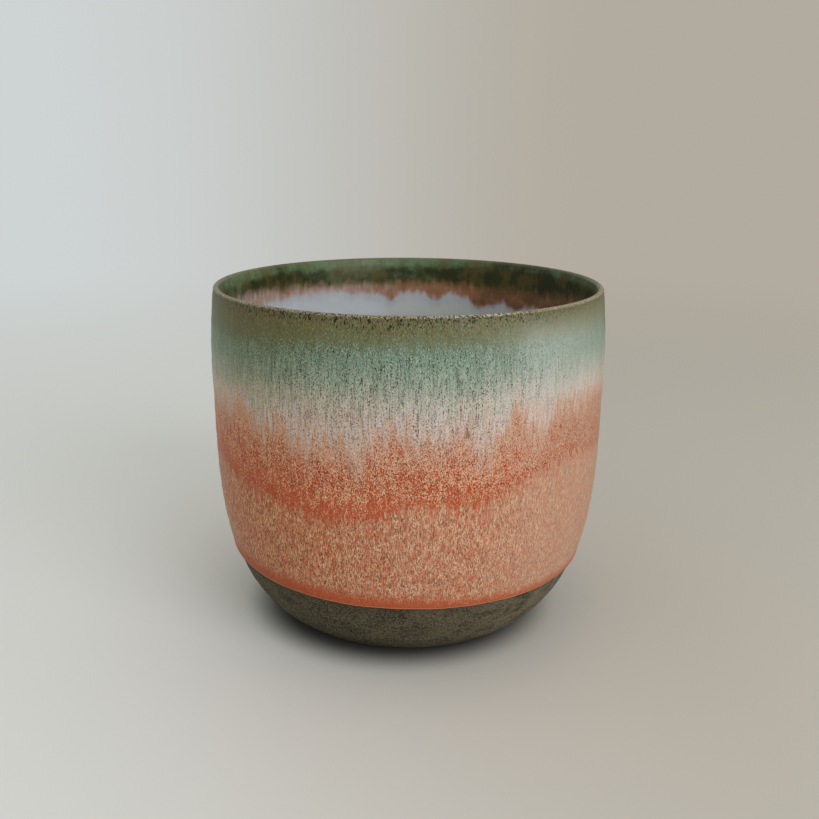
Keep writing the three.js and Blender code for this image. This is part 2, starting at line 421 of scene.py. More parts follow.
def makeOuterCoat():
    # a band from the rolled edge at the glaze line to just under the lip
    seat, start = coats["seat"], coats["rolledStart"]
    span = coats["end"] - coats["glazeLine"]
    edgeRows = [0, 0.12, 0.3, 0.55, 0.85, 1.2, 1.6, 2.1, 2.8, 3.6]
    rows = [(outsideRow, above, 1) for above in edgeRows + steps(4.5, span, 84)]
    rows += [(outsideRow, above, 0) for above in reversed(steps(0.25, span - 0.15, 12))]

    def outerSpot(row, angle):
        _, above, top = row
        line = glazeLineAt(angle)
        height = line + above * (coats["end"] - line) / span
        if not top:
            return skinSpot(outside, height, seat, angle)
        near = min(above / coats["rolledWidth"], 1)
        rolled = math.sqrt(near * (2 - near))
        bead = coats["bead"] * rolled * (1 - smoothly(above, *coats["beadFades"]))
        lift = seat + start + (firstCoat(outside, height) - start) * rolled + bead
        return skinSpot(outside, height, lift, angle)

    return spinPiece("outer_glaze_coat", rows, True, coats["turns"], outerSpot)


def makeLiner():
    # the liner wets the whole bowl, and is a little thicker where it gathered on the floor
    seat, end = coats["seat"], coats["end"]
    lowest = clay["floorTop"] + 0.1
    glazedFloor = clay["floorTop"] + seat + coats["liner"]
    floorRadii = (35.6, 35, 34.4, 33.6, 32.6, 31, 28.5, 25, 19, 11, 0)
    rows = [(plainRow, 0, clay["floorTop"] + seat)]
    rows += [(insideRow, height, 0) for height in steps(lowest, end, 14, 1.4)]
    rows += [(insideRow, height, 1) for height in reversed(steps(lowest, end, 90, 1.5))]
    rows += [(plainRow, radius, glazedFloor) for radius in floorRadii]

    def linerSpot(row, angle):
        kind, along, lift = row
        if kind == insideRow:
            radius, height = skinSpot(inside, along, seat + lift * firstCoat(inside, along), angle)
            rise = height - glazedFloor
            wetted = lift > 0
        else:
            radius, height = along, lift
            rise = (radius - clay["floorRadius"]) * coats["cornerSlope"]
            wetted = height >= glazedFloor
        if not wetted:
            return radius, height
        # the glaze has gathered in the corner between the floor and the wall
        return radius, glazedFloor + (rise + math.hypot(rise, 2 * coats["gathered"])) / 2

    return spinPiece("liner_glaze_coat", rows, False, clay["turns"], linerSpot)


def makeRimCoat():
    # wraps the lip, and its thin edges follow the runs down both walls
    seat, thinSeat = coats["seat"], coats["featherSeat"]
    outer = [0, 0.002] + steps(0.012, 1, 42, 1.2)
    inner = [0, 0.004] + steps(0.02, 1, 25, 1.15)
    lip = steps(0, 1, 14)[1:-1]
    rows = [(outsideRow, share, 1) for share in outer] + [(lipRow, share, 1) for share in lip]
    rows += [(insideRow, share, 1) for share in reversed(inner)]
    rows += [(insideRow, share, 0) for share in inner]
    rows += [(lipRow, share, 0) for share in reversed(lip)]
    rows += [(outsideRow, share, 0) for share in reversed(outer)]

    def rimSpot(row, angle):
        kind, share, top = row
        if kind == lipRow:
            return lipSpot(share, seat + top * coats["rim"])
        degrees = round(math.degrees(angle), 3)
        if kind == outsideRow:
            side, edge = outside, aroundPot("paleEdge", degrees)
        else:
            side, edge = inside, clay["lipTop"] - aroundPot("rustDepth", degrees)
        height = edge + share * (neckTop - edge)
        feather = smoothly(height - edge, 0, coats["featherLength"])
        thickness = coats["featheredEdge"] + (coats["rim"] - coats["featheredEdge"]) * feather
        bed = seat + thinSeat + (seat - thinSeat) * feather
        if height > coats["end"]:
            bed = seat * (2 - smoothly(height, coats["end"], neckTop))
        return skinSpot(side, height, firstCoat(side, height) + bed + top * thickness, angle)

    return spinPiece("rim_glaze_coat", rows, True, coats["turns"], rimSpot)


clayBody = makeClay()
outerCoat = makeOuterCoat()
linerCoat = makeLiner()
rimCoat = makeRimCoat()
made = [(piece.name, len(piece.data.polygons)) for piece in (clayBody, outerCoat, linerCoat, rimCoat)]
print("pieces made:", made)


# Helpers for the materials


def shade(red, green, blue):
    # a colour written as it looks on screen, 0 to 255
    def linear(level):
        level = level / 255
        return level / 12.92 if level <= 0.04045 else ((level + 0.055) / 1.055) ** 2.4

    return (linear(red), linear(green), linear(blue), 1.0)


def put(tree, kind, values=None, **settings):
    # adds a node, sets its properties, and links or sets its inputs
    added = tree.nodes.new(kind)
    for name, setting in settings.items():
        setattr(added, name, setting)
    for key, value in (values or {}).items():
        if isinstance(value, bpy.types.NodeSocket):
            tree.links.new(value, added.inputs[key])
        else:
            added.inputs[key].default_value = value
    return added


def give(tree, inputs, values):
    for name, value in values.items():
        tree.links.new(value, inputs[name])


def calc(tree, operation, *values):
    return put(tree, "ShaderNodeMath", dict(enumerate(values)), operation=operation).outputs[0]


def times(tree, first, second):
    return calc(tree, "MULTIPLY", first, second)


def vectorCalc(tree, operation, *values):
    added = put(tree, "ShaderNodeVectorMath", dict(enumerate(values)), operation=operation)
    return added.outputs["Value" if operation == "LENGTH" else "Vector"]


def alongAxis(tree, axis, spot):
    return put(tree, "ShaderNodeSeparateXYZ", {0: spot}).outputs[axis]


def between(tree, value, start, end):
    # 0 at start, 1 at end, and a soft step between them
    values = {"Value": value, "From Min": start, "From Max": end}
    return put(tree, "ShaderNodeMapRange", values, interpolation_type="SMOOTHSTEP").outputs[0]


def shift(tree, value, *moves):
    # moves a value up or down by noises that lie round 0.5, each given as (noise, amount)
    for grains, amount in moves:
        value = calc(tree, "MULTIPLY_ADD", calc(tree, "SUBTRACT", grains, 0.5), amount, value)
    return value


def layer(tree, mask, under, over, how="MIX"):
    values = {0: mask, 6: under, 7: over}
    return put(tree, "ShaderNodeMix", values, data_type="RGBA", blend_type=how).outputs[2]


def tint(tree, under, mask, tone):
    # lays a tone of a glaze over another or over a colour, as strongly as its fourth number says
    if isinstance(under, tuple):
        under = shade(*under[:3])
    if len(tone) == 4:
        mask = times(tree, mask, tone[3])
    return layer(tree, mask, under, shade(*tone[:3]))


def ramp(tree, value, low, high, stops):
    # colours by height, from a list of (height, colour)
    share = calc(tree, "DIVIDE", calc(tree, "SUBTRACT", value, low), high - low)
    added = put(tree, "ShaderNodeValToRGB", {0: share})
    elements = added.color_ramp.elements
    while len(elements) > 1:
        elements.remove(elements[-1])
    for number, (height, colour) in enumerate(stops):
        position = (height - low) / (high - low)
        element = elements[0] if number == 0 else elements.new(position)
        element.position = position
        element.color = shade(*colour)
    return added.outputs[0]


def newGroup(name, inputs, outputs):
    tree = bpy.data.node_groups.new(name, "ShaderNodeTree")
    kinds = {"float": "NodeSocketFloat", "vector": "NodeSocketVector", "colour": "NodeSocketColor"}
    for label, kind, value in inputs:
        socket = tree.interface.new_socket(name=label, in_out="INPUT", socket_type=kinds[kind])
        if value is not None:
            socket.default_value = value
    for label, kind in outputs:
        tree.interface.new_socket(name=label, in_out="OUTPUT", socket_type=kinds[kind])
    return tree, tree.nodes.new("NodeGroupInput").outputs, tree.nodes.new("NodeGroupOutput").inputs


def useGroup(tree, group, values=None):
    return put(tree, "ShaderNodeGroup", values, node_tree=group).outputs


grainInputs = [
    ("Position", "vector", None),
    ("Width", "float", 1),
    ("Length", "float", 1),
    ("Seed", "float", 0),
]
patternOutputs = [("Color", "colour"), ("Roughness", "float"), ("Height", "float")]


def drawnOut(tree, given):
    # the position, counted in grains of the given width and length
    size = {0: given["Width"], 1: given["Width"], 2: given["Length"]}
    grains = vectorCalc(tree, "DIVIDE", given["Position"], put(tree, "ShaderNodeCombineXYZ", size).outputs[0])
    return vectorCalc(tree, "ADD", grains, given["Seed"])


def makeDrawnNoise():
    # noise with grains of a given width and height in millimetres
    tree, given, result = newGroup(
        "drawn noise", grainInputs + [("Detail", "float", 1)], [("Value", "float")]
    )
    values = {"Vector": drawnOut(tree, given), "Scale": 1, "Detail": given["Detail"], "Roughness": 0.6}
    give(tree, result, {"Value": put(tree, "ShaderNodeTexNoise", values).outputs["Fac"]})
    return tree


def makeFlecks():
    # separate specks of a given width and length, and the share of the places that hold one
    tree, given, result = newGroup("flecks", grainInputs + [("Share", "float", 0.5)], [("Mask", "float")])
    cells = put(tree, "ShaderNodeTexVoronoi", {"Vector": drawnOut(tree, given), "Scale": 1}).outputs
    chance = put(tree, "ShaderNodeSeparateColor", {0: cells["Color"]}).outputs[0]
    spot = between(tree, cells["Distance"], 0.48, 0.3)
    give(tree, result, {"Mask": times(tree, spot, calc(tree, "LESS_THAN", chance, given["Share"]))})
    return tree


drawnNoise = makeDrawnNoise()
flecks = makeFlecks()


def noise(tree, position, width, length, detail, seed):
    values = {"Position": position, "Width": width, "Length": length, "Detail": detail, "Seed": seed}
    return useGroup(tree, drawnNoise, values)[0]


def noises(tree, position, sizes):
    # one noise for each name, from a dictionary of (width, length, detail, seed)
    return SimpleNamespace(**{name: noise(tree, position, *size) for name, size in sizes.items()})


def fleck(tree, position, width, length, share, seed):
    values = {"Position": position, "Width": width, "Length": length, "Share": share, "Seed": seed}
    return useGroup(tree, flecks, values)[0]


def potPlace(tree):
    # the place on the pot in millimetres, and its height
    coordinates = put(tree, "ShaderNodeTexCoord").outputs["Object"]
    spot = vectorCalc(tree, "MULTIPLY", coordinates, (1000, 1000, 1000))
    return spot, alongAxis(tree, "Z", spot)


def radiusOf(tree, spot):
    return vectorCalc(tree, "LENGTH", vectorCalc(tree, "MULTIPLY", spot, (1, 1, 0)))


def measure(tree, name):
    return put(tree, "ShaderNodeAttribute", attribute_name=name).outputs["Fac"]


# The glaze outside. Each tone is written as it looks on screen, and the fourth number is how strongly
# it covers what is under it, where that isn't all of it.

outerGlaze = {
    "upper": [  # the rim coat by height, in millimetres
        (60, (204, 172, 156)),
        (72, (201, 172, 156)),
        (78, (195, 172, 157)),
        (82, (186, 178, 163)),
        (86, (166, 170, 156)),
        (89, (150, 163, 148)),
        (93, (124, 147, 131)),
        (96.5, (113, 136, 118)),
        (99, (101, 111, 82)),
        (102, (95, 98, 62)),
        (106, (94, 90, 60)),
    ],
    "upperFrom": 56,
    "upperTo": 108,
    # the pale veil, partly the glaze's own paler tone and partly a painted reflection
    "pinkVeilAndReflection": (208, 198, 196),
    "paleVeilAndReflection": (190, 197, 192),
    "veilAndReflectionStrength": 0.43,
    "lavender": (206, 192, 190, 0.6),
    "column": (92, 104, 80, 0.3),
    "oliveLight": (126, 128, 84, 0.5),
    "oliveDark": (84, 82, 46, 0.5),
    "peach": (202, 159, 134, 0.75),
    "mint": (186, 200, 186, 0.5),
    "softGrain": (44, 35, 16, 0.32),
    "speck": (44, 35, 16, 0.95),
    "speckChain": (44, 35, 16, 0.8),
    "rustFleck": (142, 104, 56, 0.35),
    "bandHeight": 17,
    "creamHigh": (201, 155, 129),
    "creamLow": (211, 156, 122),
    "creamDusty": (168, 133, 113),
    "orange": (184, 72, 32),
    "deepOrange": (138, 46, 14),
    "creamFleck": (228, 190, 152, 0.6),
    "oliveSpeck": (86, 52, 26, 0.85),
    "melted": (172, 74, 41, 0.85),
    "salmonDark": (111, 59, 31),
    "salmon": (184, 126, 94),
    "salmonLight": (220, 178, 145),
    "redFleck": (184, 78, 48, 0.7),
    "streak": (208, 182, 148, 0.75),
    "brownThread": (118, 72, 40, 0.7),
    "dusty": (178, 149, 129, 0.5),
    "pool": (166, 72, 34, 0.85),
    "rolledEdgeHighlight": (228, 150, 108, 0.85),
    # the tone of the painted shade, which multiplies the glaze colour
    "paintedShade": (248, 238, 221),
    "lipBeige": (178, 164, 142),
    # the whiter crest, partly bare glaze and partly a painted highlight
    "lipWhite": (206, 200, 188),
    "lipStrength": 0.85,
    "lipBlack": (20, 15, 8, 0.92),
}

# Width and length of the grains in millimetres, detail, and seed
outerNoises = {
    "runs": (2.6, 26, 2, 3.1),
    "rivulets": (0.95, 8, 2, 7.7),
    "lines": (0.42, 8, 2, 4.9),
    "threads": (0.33, 0.85, 2, 1.3),
    "grain": (0.29, 0.38, 1, 5.2),
    "fine": (0.25, 0.55, 1, 2.7),
    "glints": (0.27, 0.6, 1, 11.3),
    "dots": (0.33, 0.45, 1, 6.1),
    "specks": (0.22, 0.43, 1, 21.7),
    "chains": (0.34, 7, 1, 17.9),
    "strokes": (0.35, 1.4, 2, 12.4),
    "columns": (1.1, 16, 2, 13.6),
    "drawn": (0.44, 1.8, 2, 8.3),
    "dashes": (0.41, 0.85, 1, 8.0),
    "clusters": (1.5, 3.6, 2, 6.6),
    "cloud": (11, 8, 2, 9.4),
}


def makeOuterPattern():
    glaze = outerGlaze
    tree, _, result = newGroup("runny glaze outside", [], patternOutputs)
    spot, height = potPlace(tree)
    n = noises(tree, spot, outerNoises)
    edge = measure(tree, "paleEdge")
    foot = measure(tree, "denseEdge")
    density = measure(tree, "denseShare")
    speckled = measure(tree, "speckShare")

    # the rim coat: olive under the lip, then green, then pale where it ran over the coral coat
    moved = shift(tree, 0, (n.runs, 10), (n.rivulets, 9), (n.lines, 7), (n.cloud, 5))
    calm = calc(tree, "MULTIPLY_ADD", between(tree, height, 86, 98), -0.5, 1)
    moved = calc(tree, "ADD", calc(tree, "MULTIPLY_ADD", moved, calm, height), measure(tree, "greenDrop"))
    upper = ramp(tree, moved, glaze["upperFrom"], glaze["upperTo"], glaze["upper"])
    mask = times(tree, between(tree, height, 88, 78), between(tree, n.rivulets, 0.42, 0.6))
    upper = tint(tree, upper, mask, glaze["lavender"])
    mask = times(tree, between(tree, n.columns, 0.5, 0.36), between(tree, height, 74, 84))
    upper = tint(tree, upper, mask, glaze["column"])
    olive = between(tree, height, 95, 100)
    mask = times(tree, between(tree, n.lines, 0.52, 0.66), olive)
    upper = tint(tree, upper, mask, glaze["oliveLight"])
    mask = times(tree, between(tree, n.lines, 0.46, 0.32), olive)
    upper = tint(tree, upper, mask, glaze["oliveDark"])
    # a pale, nearly neutral veil high on the rim coat, strongest at the front right: partly the glaze's paler
    # tone and partly a painted reflection
    veilAndReflection = times(tree, between(tree, height, 76, 85), measure(tree, "paleness"))
    veilAndReflection = times(tree, veilAndReflection, between(tree, height, 107, 97))
    veilAndReflectionTone = tint(tree, glaze["pinkVeilAndReflection"], between(tree, height, 86, 93), glaze["paleVeilAndReflection"])
    upper = layer(tree, times(tree, veilAndReflection, glaze["veilAndReflectionStrength"]), upper, veilAndReflectionTone)
    aboveEdge = calc(tree, "SUBTRACT", height, edge)
    warm = between(tree, shift(tree, aboveEdge, (n.rivulets, 14)), 8, -2)
    upper = tint(tree, upper, warm, glaze["peach"])

    # its soft grain, and dark specks that gather along thin lines
    quiet = calc(tree, "MULTIPLY_ADD", between(tree, height, 96, 100), -0.6, 1)
    quiet = times(tree, quiet, speckled)
    upper = tint(tree, upper, times(tree, between(tree, n.glints, 0.54, 0.66), quiet), glaze["mint"])
    upper = tint(tree, upper, times(tree, between(tree, n.fine, 0.58, 0.36), quiet), glaze["softGrain"])
    crowd = shift(tree, 0.377, (n.lines, 0.48))
    crowd = calc(tree, "MULTIPLY_ADD", between(tree, height, 80, 90), 0.02, crowd)
    speck = between(tree, calc(tree, "SUBTRACT", n.specks, crowd), 0.015, -0.02)
    upper = tint(tree, upper, times(tree, speck, quiet), glaze["speck"])
    chain = times(tree, between(tree, n.chains, 0.6, 0.66), between(tree, n.specks, 0.58, 0.48))
    chain = times(tree, chain, between(tree, height, 97, 91))
    upper = tint(tree, upper, times(tree, chain, speckled), glaze["speckChain"])
    rusty = times(tree, between(tree, n.strokes, 0.54, 0.66), between(tree, height, 97, 102))
    upper = tint(tree, upper, rusty, glaze["rustFleck"])

    # the coral coat: a net of orange and cream grains, densest at its foot
    band = glaze["bandHeight"]
    depth = calc(tree, "DIVIDE", calc(tree, "SUBTRACT", calc(tree, "ADD", foot, band), height), band)
    net = calc(tree, "ADD", times(tree, n.grain, 0.5), times(tree, n.fine, 0.5))
    filled = calc(tree, "POWER", calc(tree, "MAXIMUM", depth, 0.001), 1.6)
    filled = calc(tree, "MULTIPLY_ADD", filled, 0.075, 0.484)
    filled = calc(tree, "MULTIPLY_ADD", between(tree, depth, 0.1, -0.45), -0.09, filled)
    filled = calc(tree, "MULTIPLY_ADD", calc(tree, "SUBTRACT", density, 1), 0.07, filled)
    filled = shift(tree, filled, (n.cloud, 0.1), (n.rivulets, 0.12), (n.clusters, 0.3))
    deep = between(tree, calc(tree, "SUBTRACT", net, filled), 0.02, -0.02)
    cream = tint(tree, glaze["creamHigh"], between(tree, depth, 0.1, 0.7), glaze["creamLow"])
    dusty = calc(tree, "MAXIMUM", calc(tree, "SUBTRACT", 1.1, density), 0)
    cream = tint(tree, cream, dusty, glaze["creamDusty"])
    burnt = tint(tree, glaze["orange"], between(tree, n.threads, 0.56, 0.42), glaze["deepOrange"])
    orange = layer(tree, deep, cream, burnt)
    orange = tint(tree, orange, between(tree, n.glints, 0.55, 0.63), glaze["creamFleck"])
    tiny = times(tree, between(tree, n.dots, 0.445, 0.395), speckled)
    orange = tint(tree, orange, tiny, glaze["oliveSpeck"])
    # its foot has melted together, apart from a few grains
    melted = calc(tree, "MULTIPLY_ADD", density, 0.5, calc(tree, "SUBTRACT", depth, 0.5))
    melted = between(tree, shift(tree, melted, (n.clusters, 1.3)), 0.63, 0.82)
    melted = times(tree, melted, between(tree, net, 0.6, 0.51))
    melted = times(tree, melted, calc(tree, "MINIMUM", density, 1))
    orange = tint(tree, orange, melted, glaze["melted"])

    # the salmon ground below the band
    mixed = calc(tree, "ADD", times(tree, n.threads, 0.35), times(tree, n.grain, 0.25))
    mixed = calc(tree, "MULTIPLY_ADD", n.strokes, 0.4, mixed)
    ground = tint(tree, glaze["salmonDark"], between(tree, mixed, 0.432, 0.486), glaze["salmon"])
    ground = tint(tree, ground, between(tree, mixed, 0.514, 0.566), glaze["salmonLight"])
    red = between(tree, shift(tree, n.clusters, (n.grain, 0.7), (n.threads, 0.6)), 0.55, 0.63)
    ground = tint(tree, ground, red, glaze["redFleck"])
    streak = times(tree, between(tree, n.drawn, 0.55, 0.65), between(tree, n.fine, 0.34, 0.5))
    ground = tint(tree, ground, streak, glaze["streak"])
    thread = times(tree, between(tree, n.glints, 0.43, 0.36), speckled)
    ground = tint(tree, ground, thread, glaze["brownThread"])
    ground = tint(tree, ground, dusty, glaze["dusty"])
    ragged = shift(tree, height, (n.rivulets, 12), (n.threads, 7))
    below = between(tree, calc(tree, "SUBTRACT", ragged, foot), 1.5, -1.5)
    coral = layer(tree, below, orange, ground)

    # the pool above the glaze line, and a painted highlight along its thin rolled edge
    above = measure(tree, "aboveLine")
    poolHeight = shift(tree, above, (n.rivulets, 3), (n.threads, 2.2))
    pooled = between(tree, calc(tree, "SUBTRACT", poolHeight, measure(tree, "poolDepth")), 1.4, -2.8)
    coral = tint(tree, coral, pooled, glaze["pool"])
    # painted highlight: a lighter line just above the glaze line, on the rolled edge
    coral = tint(tree, coral, between(tree, above, 0.5, 0.25), glaze["rolledEdgeHighlight"])

    # the pale runs end raggedly over the coral coat
    frayed = shift(tree, aboveEdge, (n.runs, 22), (n.rivulets, 16), (n.grain, 7), (n.fine, 5))
    covered = between(tree, frayed, -5, 5.5)
    colour = layer(tree, covered, coral, upper)
    # painted shade: the glaze is warmed and darkened by angle, most on the left of the front, and half as
    # much where the pale runs lie low over the coral
    clayFlashAndGlazeShade = times(tree, covered, between(tree, height, 84, 78))
    clayFlashAndGlazeShade = times(tree, calc(tree, "MULTIPLY_ADD", clayFlashAndGlazeShade, -0.5, 1), measure(tree, "paintedShade"))
    colour = layer(tree, clayFlashAndGlazeShade, colour, shade(*glaze["paintedShade"]), "MULTIPLY")

    # the lip, where the glaze is thin and broken
    crest = between(tree, shift(tree, height, (n.grain, 1.0)), 105.2, 105.6)
    broken = times(tree, crest, between(tree, n.fine, 0.4, 0.52))
    # the crest turns whiter, most at the front right: partly bare glaze and partly a painted highlight
    bareAndHighlight = between(tree, shift(tree, measure(tree, "lipBareAndHighlight"), (n.fine, 1.2)), 0.75, 1.1)
    lipTone = tint(tree, glaze["lipBeige"], bareAndHighlight, glaze["lipWhite"])
    colour = layer(tree, times(tree, broken, glaze["lipStrength"]), colour, lipTone)
    dashShare = calc(tree, "MULTIPLY_ADD", between(tree, height, 101.5, 105.4), 0.115, 0.33)
    dashes = between(tree, calc(tree, "SUBTRACT", n.dashes, dashShare), 0.012, -0.012)
    dashes = times(tree, dashes, between(tree, height, 99.5, 102.5))
    dashes = times(tree, dashes, between(tree, speckled, 0.1, 0.9))
    colour = tint(tree, colour, dashes, glaze["lipBlack"])

    rough = calc(tree, "MULTIPLY_ADD", n.threads, 0.16, 0.38)
    relief = calc(tree, "ADD", times(tree, n.threads, 0.5), times(tree, n.rivulets, 0.8))
    relief = calc(tree, "MULTIPLY_ADD", n.grain, 0.3, relief)
    give(tree, result, {"Color": colour, "Roughness": rough, "Height": relief})
    return tree


# The glaze inside

innerGlaze = {
    "darkGreen": (44, 48, 24),
    "green": (96, 120, 86),
    "brown": (88, 78, 40, 0.6),
    "lipLine": (106, 98, 76, 0.4),
    "pink": (164, 140, 128),
    "rust": (146, 104, 76),
    "dustyStreak": (184, 170, 162, 0.7),
    "darkRust": (98, 68, 42, 0.9),
    "rustGrain": (98, 68, 42, 0.2),
    "redEdge": (166, 108, 86, 0.3),
    "liner": (192, 199, 207),
    "linerBlotch": (190, 196, 202),
    "linerWarm": (184, 189, 185),
    "halo": (174, 176, 182),
}

innerNoises = {
    "runs": (2.6, 10, 2, 4.4),
    "streaks": (1.5, 7, 1, 7.3),
    "mottle": (4.5, 3.6, 2, 2.1),
    "drips": (2.0, 2.6, 1, 5.5),
    "grain": (0.5, 0.8, 2, 6.3),
    "cloud": (9, 7, 2, 1.9),
}


def makeInnerPattern():
    glaze = innerGlaze
    tree, _, result = newGroup("runny glaze inside", [], patternOutputs)
    spot, height = potPlace(tree)
    n = noises(tree, spot, innerNoises)
    depth = calc(tree, "SUBTRACT", clay["lipTop"], height)
    dark = measure(tree, "innerDark")
    rust = measure(tree, "rustShare")

    # how far below the edge of the green, and of the rust, both of which have run
    toBand = shift(tree, depth, (n.runs, 5), (n.drips, 2.4), (n.grain, 0.4))
    toBand = calc(tree, "SUBTRACT", toBand, measure(tree, "greenDepth"))
    toLiner = shift(tree, depth, (n.runs, 3.5), (n.drips, 2.0), (n.grain, 0.3))
    toLiner = calc(tree, "SUBTRACT", toLiner, measure(tree, "rustDepth"))

    # the green under the lip, darker and browner in places
    lit = shift(tree, 0.5, (n.mottle, 0.6), (dark, -0.5), (n.grain, 0.12))
    lit = calc(tree, "MULTIPLY_ADD", between(tree, depth, 5.0, 0.8), 0.29, calc(tree, "SUBTRACT", lit, 0.17))
    green = tint(tree, glaze["darkGreen"], between(tree, lit, 0.3, 0.72), glaze["green"])
    browner = between(tree, shift(tree, n.cloud, (n.streaks, 0.4)), 0.44, 0.66)
    green = tint(tree, green, browner, glaze["brown"])
    crest = between(tree, shift(tree, depth, (n.grain, 1.0)), 1.0, 0.3)
    green = tint(tree, green, crest, glaze["lipLine"])
    green = tint(tree, green, between(tree, toBand, -2.6, 0.4), glaze["brown"])

    # the rust under the green
    rusted = between(tree, shift(tree, rust, (n.cloud, 1.0)), 0.3, 0.85)
    band = tint(tree, glaze["pink"], rusted, glaze["rust"])
    dusty = times(tree, between(tree, n.streaks, 0.5, 0.66), calc(tree, "SUBTRACT", 1.15, rust))
    band = tint(tree, band, dusty, glaze["dustyStreak"])
    browned = between(tree, shift(tree, dark, (n.mottle, 0.8)), 0.5, 1.05)
    band = tint(tree, band, browned, glaze["darkRust"])
    band = tint(tree, band, between(tree, n.grain, 0.58, 0.34), glaze["rustGrain"])
    band = tint(tree, band, between(tree, toLiner, -2.6, -0.4), glaze["redEdge"])

    # the pale liner, warmer where the rust is strong and greyer close under it
    pale = tint(tree, glaze["liner"], between(tree, n.cloud, 0.4, 0.65), glaze["linerBlotch"])
    pale = tint(tree, pale, between(tree, rust, 0.6, 1.0), glaze["linerWarm"])
    pale = tint(tree, pale, between(tree, toLiner, 4.5, 0.4), glaze["halo"])

    colour = layer(tree, between(tree, toBand, -1.8, 2.4), green, band)
    colour = layer(tree, between(tree, toLiner, -1.6, 1.2), colour, pale)
    satin = between(tree, toLiner, 0.5, -1.5)
    give(tree, result, {"Color": colour, "Roughness": satin, "Height": times(tree, n.mottle, satin)})
    return tree


outerPattern = makeOuterPattern()
innerPattern = makeInnerPattern()


def newMaterial(name, **plain):
    material = bpy.data.materials.new(name)
    material.use_nodes = True
    tree = material.node_tree
    shader = tree.nodes["Principled BSDF"]
    for key, value in plain.items():
        shader.inputs[key.replace("_", " ")].default_value = value
    return material, tree, shader


def dress(tree, shader, colour, rough, relief, distance):
    # colour, roughness, and relief up to a distance in metres
    bump = put(tree, "ShaderNodeBump", {"Height": relief, "Distance": distance}).outputs[0]
    give(tree, shader.inputs, {"Base Color": colour, "Roughness": rough, "Normal": bump})


# The glazes as they lie on the pieces. The rim coat turns from outside to inside between two radii.
finish = {
    "relief": 0.00005,
    "linerGloss": 0.16,
    "satinAdds": 0.18,
    "rimTurns": (59.0, 58.5),
}


def innerRough(tree, inner):
    return calc(tree, "MULTIPLY_ADD", inner["Roughness"], finish["satinAdds"], finish["linerGloss"])


def makeOuterMaterial():
    material, tree, shader = newMaterial("coral glaze", IOR=1.5, Specular_IOR_Level=0.2)
    outer = useGroup(tree, outerPattern)
    dress(tree, shader, outer["Color"], outer["Roughness"], outer["Height"], finish["relief"])
    return material


def makeLinerMaterial():
    material, tree, shader = newMaterial("pale liner glaze", IOR=1.5)
    inner = useGroup(tree, innerPattern)
    dress(tree, shader, inner["Color"], innerRough(tree, inner), inner["Height"], finish["relief"])
    return material


def makeRimMaterial():
    material, tree, shader = newMaterial("green rim glaze", IOR=1.5, Specular_IOR_Level=0.2)
    outer = useGroup(tree, outerPattern)
    inner = useGroup(tree, innerPattern)
    spot, _ = potPlace(tree)
    within = between(tree, radiusOf(tree, spot), *finish["rimTurns"])
    colour = layer(tree, within, outer["Color"], inner["Color"])
    rough = {0: within, 2: outer["Roughness"], 3: innerRough(tree, inner)}
    relief = {0: within, 2: outer["Height"], 3: inner["Height"]}
    rough, relief = (put(tree, "ShaderNodeMix", values).outputs[0] for values in (rough, relief))
    dress(tree, shader, colour, rough, relief, finish["relief"])
    return material


# The bare clay

bareClay = {
    "dark": (38, 34, 24),
    "light": (93, 86, 68),
    "clayFlashAndGlazeShade": (66, 54, 38, 0.5),
    "paleFlash": (112, 104, 86),
    "rubbed": (116, 108, 88, 0.5),
    "grit": (122, 115, 94, 0.5),
    "pit": (22, 19, 13, 0.75),
    "relief": 0.00012,
    "noises": {"cloud": (7, 3, 3, 0.7), "grain": (0.55, 0.6, 2, 8.8)},
    "turningMarks": (0.9, 0.9, 2, 3.3),
    "gritFlecks": (0.45, 0.4, 0.2, 4.0),  # width, length, share and seed
    "pitFlecks": (0.5, 0.44, 0.32, 6.0),
}


def makeClayMaterial():
    material, tree, shader = newMaterial("bare stoneware", IOR=1.45, Specular_IOR_Level=0.15)
    spot, height = potPlace(tree)
    n = noises(tree, spot, bareClay["noises"])
    wander = shift(tree, radiusOf(tree, spot), (n.cloud, 1.5))
    ringSpot = put(tree, "ShaderNodeCombineXYZ", {0: wander, 2: height}).outputs[0]
    turned = noise(tree, ringSpot, *bareClay["turningMarks"])
    mix = calc(tree, "ADD", times(tree, n.cloud, 0.16), times(tree, turned, 0.08))
    mix = calc(tree, "MULTIPLY_ADD", n.grain, 0.76, mix)
    colour = tint(tree, bareClay["dark"], between(tree, mix, 0.38, 0.6), bareClay["light"])
    colour = tint(tree, colour, between(tree, measure(tree, "aboveLine"), -3.0, -0.2), bareClay["clayFlashAndGlazeShade"])
    pale = times(tree, measure(tree, "clayFlash"), between(tree, n.cloud, 0.3, 0.6))
    colour = tint(tree, colour, pale, bareClay["paleFlash"])
    # the foot ring is rubbed smooth where the pot stands
    rubbed = between(tree, shift(tree, height, (n.grain, 0.9)), 0.4, 0.0)
    colour = tint(tree, colour, rubbed, bareClay["rubbed"])
    colour = tint(tree, colour, fleck(tree, spot, *bareClay["gritFlecks"]), bareClay["grit"])
    pits = fleck(tree, spot, *bareClay["pitFlecks"])
    colour = tint(tree, colour, pits, bareClay["pit"])
    rough = calc(tree, "MULTIPLY_ADD", n.grain, 0.2, 0.7)
    relief = calc(tree, "ADD", times(tree, n.grain, 0.7), times(tree, turned, 0.9))
    relief = calc(tree, "SUBTRACT", relief, times(tree, pits, 0.6))
    dress(tree, shader, colour, rough, relief, bareClay["relief"])
    return material


for piece, node, slot, material in (
    (clayBody, "stoneware_body", "bare_stoneware", makeClayMaterial()),
    (outerCoat, "outer_glaze", "coral_glaze", makeOuterMaterial()),
    (linerCoat, "liner_glaze", "pale_liner_glaze", makeLinerMaterial()),
    (rimCoat, "rim_glaze", "green_rim_glaze", makeRimMaterial()),
):
    piece.data.materials.append(material)
    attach(piece, "root")
    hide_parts(node)
print("materials made")
